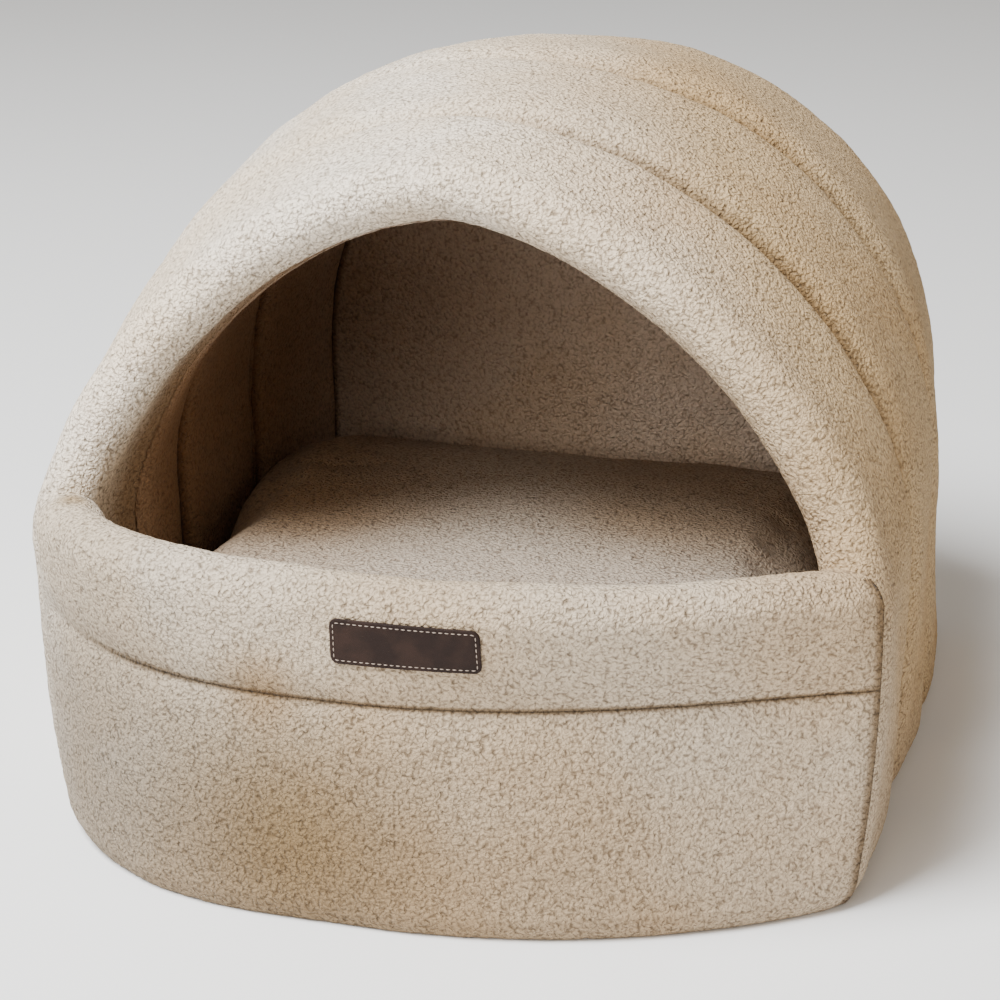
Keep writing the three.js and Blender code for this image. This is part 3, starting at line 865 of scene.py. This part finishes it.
# The label and its stitches
def label_outline(inset, count):
    """A rounded rectangle, drawn in from the label's edge."""
    half = np.array([LABEL_WIDE, LABEL_HIGH]) / 2 - inset
    corner = max(LABEL_CORNER - inset, LABEL_LEAST_CORNER)
    straight = 2 * (half - corner)
    lengths = [straight[1], corner * math.pi / 2, straight[0], corner * math.pi / 2] * 2
    at = np.linspace(0, sum(lengths), count, endpoint=False)
    points = np.empty((count, 2))
    position, heading = np.array([half[0], -half[1] + corner]), math.pi / 2
    start = 0.0
    for number, length in enumerate(lengths):
        here = (at >= start) & (at < start + length)
        s = at[here] - start
        if number % 2 == 0:
            way = np.array([math.cos(heading), math.sin(heading)])
            points[here] = position + s[:, None] * way
            position = position + length * way
        else:
            centre = position + corner * np.array([-math.sin(heading), math.cos(heading)])
            angle = heading - math.pi / 2 + s / corner
            points[here] = centre + corner * np.stack([np.cos(angle), np.sin(angle)], -1)
            heading += math.pi / 2
            end = heading - math.pi / 2
            position = centre + corner * np.array([math.cos(end), math.sin(end)])
        start += length
    return points


def on_label(points, lift):
    """Points of the label's plane, laid on the wall's face and lifted off it."""
    across = (LABEL_SIDE + points[..., 0]) / WALL_HALF
    height = LABEL_HEIGHT + points[..., 1]
    return wall_point(across, height, wall_inset(across, height) - CLEAR - lift)


def make_label():
    rings = [on_label(label_outline(inset, LABEL_POINTS), lift) for inset, lift in LABEL_PROFILE]
    return loft("label_leather", np.stack(rings))


def stitch_ring(middle, aside, share):
    """One ring of points round a stitch, where share goes from -1 to 1 along it."""
    radius = STITCH_RADIUS * math.sqrt(max(STITCH_END_SIZE, 1 - share * share))
    bent = STITCH_RADIUS * (STITCH_RISE - share * share * STITCH_DIP)
    ring = []
    for turn in np.arange(STITCH_SIDES) * 2 * math.pi / STITCH_SIDES:
        flat = middle + aside * radius * math.cos(turn)
        ring.append(on_label(flat, STITCH_HEIGHT + bent + radius * math.sin(turn)))
    return ring


def make_stitches():
    outline = label_outline(STITCH_INSET, STITCH_WAY_POINTS)
    closed = np.concatenate([outline, outline[:1]])
    gaps = np.linalg.norm(closed[1:] - outline, axis=1)
    travelled = np.concatenate([[0], np.cumsum(gaps)])
    whole = travelled[-1]
    count = round(whole / STITCH_PITCH)
    shares = np.linspace(-1, 1, STITCH_RINGS)
    points, faces = [], []
    for number in range(count):
        along = (number * whole / count + shares * STITCH_LONG / 2) % whole
        line = np.stack([np.interp(along, travelled, closed[:, k]) for k in range(2)], -1)
        way = unit(np.gradient(line, axis=0))
        aside = np.stack([-way[:, 1], way[:, 0]], -1)
        first = len(points)
        for middle, sideways, share in zip(line, aside, shares):
            points += stitch_ring(middle, sideways, share)
        last = len(points) - STITCH_SIDES
        for ring in range(first, last, STITCH_SIDES):
            for j in range(STITCH_SIDES):
                a, b = ring + j, ring + (j + 1) % STITCH_SIDES
                faces.append([a, b, b + STITCH_SIDES, a + STITCH_SIDES])
        faces.append([first + j for j in range(STITCH_SIDES)][::-1])
        faces.append([last + j for j in range(STITCH_SIDES)])
    obj = add_mesh("label_stitches", settled(np.array(points)), faces)
    turn_out(obj)
    return obj


# Materials
class Value:
    """A node's output, for use in ordinary arithmetic."""

    def __init__(self, tree, socket):
        self.tree = tree
        self.socket = socket

    def math(self, operation, *values):
        settings = {"operation": operation}
        return node(self.tree, "ShaderNodeMath", settings, dict(enumerate(values)))

    def __add__(self, other):
        return self.math("ADD", self, other)

    def __sub__(self, other):
        return self.math("SUBTRACT", self, other)

    def __mul__(self, other):
        return self.math("MULTIPLY", self, other)

    def __rsub__(self, other):
        return self.math("SUBTRACT", other, self)

    __radd__ = __add__
    __rmul__ = __mul__

    def between(self, low, high):
        """0 below low, 1 above high, eased between them."""
        settings = {"interpolation_type": "SMOOTHSTEP"}
        return node(self.tree, "ShaderNodeMapRange", settings, {0: self, 1: low, 2: high})


def node(tree, kind, settings=None, inputs=None, output=0):
    """Adds one node: its settings first, then the values or links of its sockets."""
    made = tree.nodes.new(kind)
    for name, value in (settings or {}).items():
        setattr(made, name, value)
    for name, value in (inputs or {}).items():
        if isinstance(value, Value):
            tree.links.new(value.socket, made.inputs[name])
        else:
            made.inputs[name].default_value = value
    return Value(tree, made.outputs[output])


def colours(values):
    """Plain colours get their fourth number."""
    return {k: (*c, 1.0) if isinstance(c, tuple) else c for k, c in values.items()}


def blend_colour(tree, share, low, high, way="MIX"):
    """A colour between two, by share."""
    settings = {"data_type": "RGBA", "blend_type": way}
    return node(tree, "ShaderNodeMix", settings, colours({0: share, 6: low, 7: high}), 2)


def dyed(tree, colour, share, dye):
    """A colour dyed by another where share is 1."""
    return blend_colour(tree, share, colour, dye, "MULTIPLY")


def mark(tree, title):
    """What the mesh is marked with under this title."""
    return node(tree, "ShaderNodeAttribute", {"attribute_name": title}, output=2)


def object_place(tree):
    """Where a point of the cloth lies in the bed, in metres."""
    return node(tree, "ShaderNodeTexCoord", output=3)


def noise(tree, place, scale, detail, output=0):
    """Cloudy noise, finer as scale grows."""
    inputs = {"Vector": place, "Scale": scale, "Detail": detail}
    return node(tree, "ShaderNodeTexNoise", None, inputs, output)


def cells(tree, place, scale, feature):
    """A pattern of cells, as curls lie or leather is grained."""
    inputs = {"Vector": place, "Scale": scale}
    return node(tree, "ShaderNodeTexVoronoi", {"feature": feature}, inputs)


def bumps(tree, height, strength, distance):
    inputs = {"Strength": strength, "Distance": distance, "Height": height}
    return node(tree, "ShaderNodeBump", None, inputs)


def new_finish(name):
    material = bpy.data.materials.new(name)
    material.use_nodes = True
    tree = material.node_tree
    tree.nodes.clear()
    return material, tree


def finish_with(tree, normal=None, **sockets):
    """Ends a material in a Principled shader with these sockets."""
    inputs = {}
    for name, value in sockets.items():
        inputs[name.replace("_", " ").title().replace("Ior", "IOR")] = value
    if normal is not None:
        inputs["Normal"] = normal
    shader = node(tree, "ShaderNodeBsdfPrincipled", None, inputs)
    out = tree.nodes.new("ShaderNodeOutputMaterial")
    tree.links.new(shader.socket, out.inputs["Surface"])


# Colours, as light values from 0 to 1
CREAM_TIP = (0.90, 0.79, 0.65)
# Root colours: painted shade in the pits between the curls
CREAM_PIT_SHADE = (0.40, 0.33, 0.255)
# Painted shade in the seams, and a darker line of painted shadow along their bottom
CREAM_SEAM_SHADE = (0.40, 0.355, 0.30)
SEAM_SHADOW_LINE = (0.34, 0.33, 0.32)
# Painted shade on the front wall's face and its left end
FRONT_PAINTED_SHADE = (0.52, 0.46, 0.38)
CORNER_PAINTED_SHADE = (0.41, 0.405, 0.40)
# Tan tone on the wall; the same colour paints the shade in the notch at the wall's left top
# corner
TAN_TONE_AND_NOTCH_SHADE = (0.54, 0.47, 0.35)
TAN_SEAM = (0.74, 0.64, 0.51)
# Painted shade on the hood's right side, and darker toward the floor
SIDE_PAINTED_SHADE = (0.60, 0.485, 0.32)
FOOT_PAINTED_SHADE = (0.80, 0.75, 0.68)
LINING_TIP = (0.80, 0.66, 0.54)
# Painted shade in the lining's pits and seams, and on the inside of its left wall
LINING_PIT_SHADE = (0.50, 0.39, 0.30)
LINING_SEAM_SHADE = (0.50, 0.43, 0.37)
LINING_PAINTED_SHADE = (0.42, 0.31, 0.21)
# Painted shade on the rim's cloth where it turns in toward the lining
RIM_INSIDE_SHADE_TIP = (0.34, 0.235, 0.145)
RIM_INSIDE_PIT_SHADE = (0.20, 0.13, 0.075)
CUSHION_TIP = (0.45, 0.37, 0.29)
# Painted shade in the cushion's pits, and on its left flank and its right part
CUSHION_PIT_SHADE = (0.21, 0.155, 0.11)
CUSHION_PAINTED_SHADE = (0.66, 0.52, 0.36)
CUSHION_FAR_PAINTED_SHADE = (0.80, 0.72, 0.62)


# The curly cloth's finish: how fine its curls, pits, drift and clouds are, how far the drift
# goes, and how much curls and pits weigh in its bumps and in the painted shade of its pits
CURL_FINE = 500.0
PIT_FINE = 600.0
CURL_DRIFT_FINE = 260.0
CLOUD_FINE = 9.0
CURL_DRIFT = (0.003, 0.003, 0.003)
CURL_BUMP = (0.7, 0.9)
CURL_PIT_SHADE = (0.5, 0.9)
CURL_DEPTH = 0.0020
# Where a colour comes in, from none to all: tips over the painted shade in the pits, clouds,
# painted shade in the seams, and a line of painted shadow along their bottom
TIP_FROM = (0.45, 1.0)
CLOUD_FROM = (0.42, 0.66)
SEAM_SHADE_FROM = (0.22, 0.9)
SEAM_SHADOW_LINE_FROM = (0.76, 1.0)
CLOUD_DYE = (0.95, 0.90, 0.83)


def curly_cloth(name, tip, root, seam, inside=None, patches=()):
    """Cloth with a short curly pile, light on the curls, with painted shade in the pits between
    them.
    seam gives the painted shade in its sewn seams, inside gives the root and tip colours deep
    inside the bed (painted shade on the outer cloth's turned-in rim, the linings' own colour),
    and patches lists soft patches of another colour, most of them painted shade: middle, inner
    and outer radius, and dye."""
    material, tree = new_finish(name)
    place = object_place(tree)
    drift = noise(tree, place, CURL_DRIFT_FINE, 1.0, output=1)
    settings = {"operation": "MULTIPLY_ADD"}
    bent = node(tree, "ShaderNodeVectorMath", settings, {0: drift, 1: CURL_DRIFT, 2: place})
    lump = cells(tree, bent, CURL_FINE, "F1")
    pit = noise(tree, bent, PIT_FINE, 2.0)
    curl = 1.0 - lump * lump
    normal = bumps(tree, curl * CURL_BUMP[0] + pit * CURL_BUMP[1], 1.0, CURL_DEPTH)
    share = (curl * CURL_PIT_SHADE[0] + pit * CURL_PIT_SHADE[1]).between(*TIP_FROM)
    colour = blend_colour(tree, share, root, tip)
    # Deep inside the bed: painted shade on the rim's turned-in cloth, and the linings' own colour
    if inside is not None:
        inner_shade_and_lining_colour = blend_colour(tree, share, *inside)
        colour = blend_colour(tree, mark(tree, "deep"), colour, inner_shade_and_lining_colour)
    cloud = noise(tree, place, CLOUD_FINE, 2.0)
    colour = dyed(tree, colour, cloud.between(*CLOUD_FROM), CLOUD_DYE)
    settings = {"operation": "DISTANCE"}
    for middle, inner, outer, dye in patches:
        away = node(tree, "ShaderNodeVectorMath", settings, {0: place, 1: middle}, 1)
        colour = dyed(tree, colour, 1.0 - away.between(inner, outer), dye)
    # Painted shade along the seams, and a darker line of painted shadow along their bottom
    seam_shade = mark(tree, "seam_shade")
    colour = dyed(tree, colour, seam_shade.between(*SEAM_SHADE_FROM), seam)
    colour = dyed(tree, colour, seam_shade.between(*SEAM_SHADOW_LINE_FROM), SEAM_SHADOW_LINE)
    finish_with(
        tree, normal, base_color=colour, roughness=0.95, sheen_weight=0.05,
        specular_ior_level=0.12)
    return material


# The woven base cloth: how fine and uneven its threads are, their depth and its two shades
WEAVE_FINE = 160.0
WEAVE_UNEVEN = 0.6
WEAVE_DEPTH = 0.0006
WEAVE_FROM = (0.1, 0.8)
WEAVE_LIGHT = (0.50, 0.45, 0.38)
WEAVE_DARK = (0.30, 0.26, 0.21)


def threads(tree, place, way):
    """A wave across the threads that lie one way."""
    inputs = {"Vector": place, "Scale": WEAVE_FINE, "Distortion": WEAVE_UNEVEN}
    return node(tree, "ShaderNodeTexWave", {"bands_direction": way}, inputs)


def woven_cloth(name):
    """A plain weave of threads about a millimetre apart."""
    material, tree = new_finish(name)
    place = object_place(tree)
    height = threads(tree, place, "X") * threads(tree, place, "Y")
    normal = bumps(tree, height, 0.5, WEAVE_DEPTH)
    colour = blend_colour(tree, height.between(*WEAVE_FROM), WEAVE_DARK, WEAVE_LIGHT)
    finish_with(tree, normal, base_color=colour, roughness=0.9, sheen_weight=0.1)
    return material


# The label's leather: how fine its grain and clouds are, its depth and its two shades
GRAIN_FINE = 1100.0
GRAIN_FROM = (0.0, 0.25)
GRAIN_DEPTH = 0.0004
LEATHER_CLOUD_FINE = 90.0
LEATHER_CLOUD_FROM = (0.35, 0.7)
LEATHER_CLOUD_HEIGHT = 0.4
LEATHER_DARK = (0.015, 0.0078, 0.0058)
LEATHER_LIGHT = (0.026, 0.0135, 0.0098)
LEATHER_ROUGH = (0.48, 0.14)


def label_leather(name):
    """Smooth dark brown leather with a fine grain and a soft sheen."""
    material, tree = new_finish(name)
    place = object_place(tree)
    grain = cells(tree, place, GRAIN_FINE, "DISTANCE_TO_EDGE")
    cloud = noise(tree, place, LEATHER_CLOUD_FINE, 4.0)
    height = grain.between(*GRAIN_FROM) + cloud * LEATHER_CLOUD_HEIGHT
    normal = bumps(tree, height, 0.35, GRAIN_DEPTH)
    shade = cloud.between(*LEATHER_CLOUD_FROM)
    colour = blend_colour(tree, shade, LEATHER_DARK, LEATHER_LIGHT)
    rough = LEATHER_ROUGH[0] + cloud * LEATHER_ROUGH[1]
    finish_with(tree, normal, base_color=colour, roughness=rough, specular_ior_level=0.13)
    return material


# The stitches' thread: how fine its twist is, its depth and its two shades
TWIST_FINE = 1500.0
TWIST_DEPTH = 0.0003
THREAD_DARK = (0.20, 0.155, 0.125)
THREAD_LIGHT = (0.34, 0.275, 0.225)


def thread(name):
    material, tree = new_finish(name)
    twist = noise(tree, object_place(tree), TWIST_FINE, 2.0)
    normal = bumps(tree, twist, 0.4, TWIST_DEPTH)
    colour = blend_colour(tree, twist, THREAD_DARK, THREAD_LIGHT)
    finish_with(tree, normal, base_color=colour, roughness=0.8)
    return material


# Soft patches of painted shade in the cloth, and two of tan tone: middle, inner and outer radius
# in metres, and dye
OUTER_PATCHES = [
    # Painted shade on the front wall's face and its left end
    ((0.06, -0.42, 0.02), 0.14, 0.46, FRONT_PAINTED_SHADE),
    ((-0.23, -0.26, 0.07), 0.04, 0.21, CORNER_PAINTED_SHADE),
    # Tan near the middle of the wall, above the floor and at its seam
    ((-0.051, -0.245, 0.048), 0.0, 0.12, TAN_TONE_AND_NOTCH_SHADE),
    ((-0.066, -0.247, 0.129), 0.0, 0.034, TAN_SEAM),
    # Painted shade on the hood's right side, darker toward the floor, and in the notch at the
    # wall's left top corner
    ((0.52, 0.20, 0.36), 0.44, 0.62, SIDE_PAINTED_SHADE),
    ((0.0, -0.2, -1.0), 0.99, 1.13, FOOT_PAINTED_SHADE),
    ((-0.203, -0.157, 0.190), 0.002, 0.017, TAN_TONE_AND_NOTCH_SHADE),
]
LINING_PATCHES = [
    # Painted shade on the lining's left wall, turned from the light
    ((-0.20, 0.02, 0.20), 0.08, 0.32, LINING_PAINTED_SHADE),
]
CUSHION_PATCHES = [
    # Painted shade on the cushion's left flank and on its right part
    ((-0.19, 0.02, 0.12), 0.06, 0.20, CUSHION_PAINTED_SHADE),
    ((0.11, 0.05, 0.14), 0.03, 0.14, CUSHION_FAR_PAINTED_SHADE),
]

# The finishes of the bed's pieces
# Inside the bed: painted shade for the outer cloth, the linings' own colour for them
RIM_INSIDE_PAINTED_SHADE = (RIM_INSIDE_PIT_SHADE, RIM_INSIDE_SHADE_TIP)
LINING_INSIDE = (LINING_PIT_SHADE, LINING_TIP)
OUTER_CLOTH = curly_cloth(
    "cream curly cloth", CREAM_TIP, CREAM_PIT_SHADE, CREAM_SEAM_SHADE, RIM_INSIDE_PAINTED_SHADE, OUTER_PATCHES)
LINING_CLOTH = curly_cloth(
    "taupe curly cloth", CREAM_TIP, CREAM_PIT_SHADE, LINING_SEAM_SHADE, LINING_INSIDE, LINING_PATCHES)
CUSHION_CLOTH = curly_cloth(
    "pinkish curly cloth", CUSHION_TIP, CUSHION_PIT_SHADE, LINING_SEAM_SHADE, None, CUSHION_PATCHES)
BASE_CLOTH = woven_cloth("woven base cloth")
LABEL_LEATHER = label_leather("brown label leather")
THREAD = thread("pale thread")


def fit(obj, material, slot, *nodes):
    """Gives a piece its finish, and puts it in the place of the solids that it stands for."""
    obj.data.materials.clear()
    obj.data.materials.append(material)
    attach(obj, "root")
    if nodes:
        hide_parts(*nodes)
    return obj


# The pieces of the bed
fit(make_hood(), OUTER_CLOTH, "curly_cloth", "hood")
fit(make_front_wall(), OUTER_CLOTH, "curly_cloth", "front_wall")
fit(make_back_panel(), OUTER_CLOTH, "curly_cloth", "back_panel")
hood_lining = fit(make_hood_lining(), LINING_CLOTH, "lining_cloth", "hood_lining")
back_lining = fit(make_back_lining(), LINING_CLOTH, "lining_cloth", "back_lining")
fit(make_base(), BASE_CLOTH, "base_cloth", "base")
fit(make_cushion(), CUSHION_CLOTH, "cushion_cloth", "cushion")
fit(make_label(), LABEL_LEATHER, "label_leather", "label")
fit(make_stitches(), THREAD, "label_leather")


# The floor and the studio light. The floor lies a little below the bed's underside.
FLOOR_HALF = 6.0
FLOOR_DROP = 0.0005
FLOOR_COLOUR = (0.88, 0.88, 0.88, 1.0)
# Soft lamps: name, place, what it looks at, size, power in watts and colour
LAMPS = [
    ("key", (-0.95, -1.25, 2.75), (0, 0, 0.2), 1.4, 255, (0.97, 0.99, 1.0)),
    ("front", (-0.5, -2.5, 1.2), (0, 0.1, 0.15), 1.3, 22, (1.0, 0.94, 0.87)),
    ("side", (2.0, -0.7, 1.0), (0, 0, 0.15), 1.2, 8, (1.0, 0.80, 0.60)),
]
SKY_COLOUR = (1.0, 0.93, 0.84, 1.0)
SKY_STRENGTH = 0.34


def add_floor():
    ways = ((-1, -1), (1, -1), (1, 1), (-1, 1))
    corners = np.array([(x * FLOOR_HALF, y * FLOOR_HALF, -FLOOR_DROP) for x, y in ways])
    floor = add_mesh("floor", corners, [[0, 1, 2, 3]])
    material, tree = new_finish("pale floor")
    finish_with(tree, base_color=FLOOR_COLOUR, roughness=0.9)
    floor.data.materials.append(material)


def add_light(name, place, aim, size, power, colour):
    data = bpy.data.lights.new(name, "AREA")
    data.size = size
    data.energy = power
    data.color = colour
    light = bpy.data.objects.new(name, data)
    light.location = place
    light.rotation_mode = "QUATERNION"
    light.rotation_quaternion = (Vector(aim) - Vector(place)).to_track_quat("-Z", "Y")
    bpy.context.scene.collection.objects.link(light)


def add_world():
    world = bpy.data.worlds.new("studio")
    world.use_nodes = True
    background = world.node_tree.nodes["Background"]
    background.inputs["Color"].default_value = SKY_COLOUR
    background.inputs["Strength"].default_value = SKY_STRENGTH
    bpy.context.scene.world = world


add_floor()
for lamp in LAMPS:
    add_light(*lamp)
add_world()
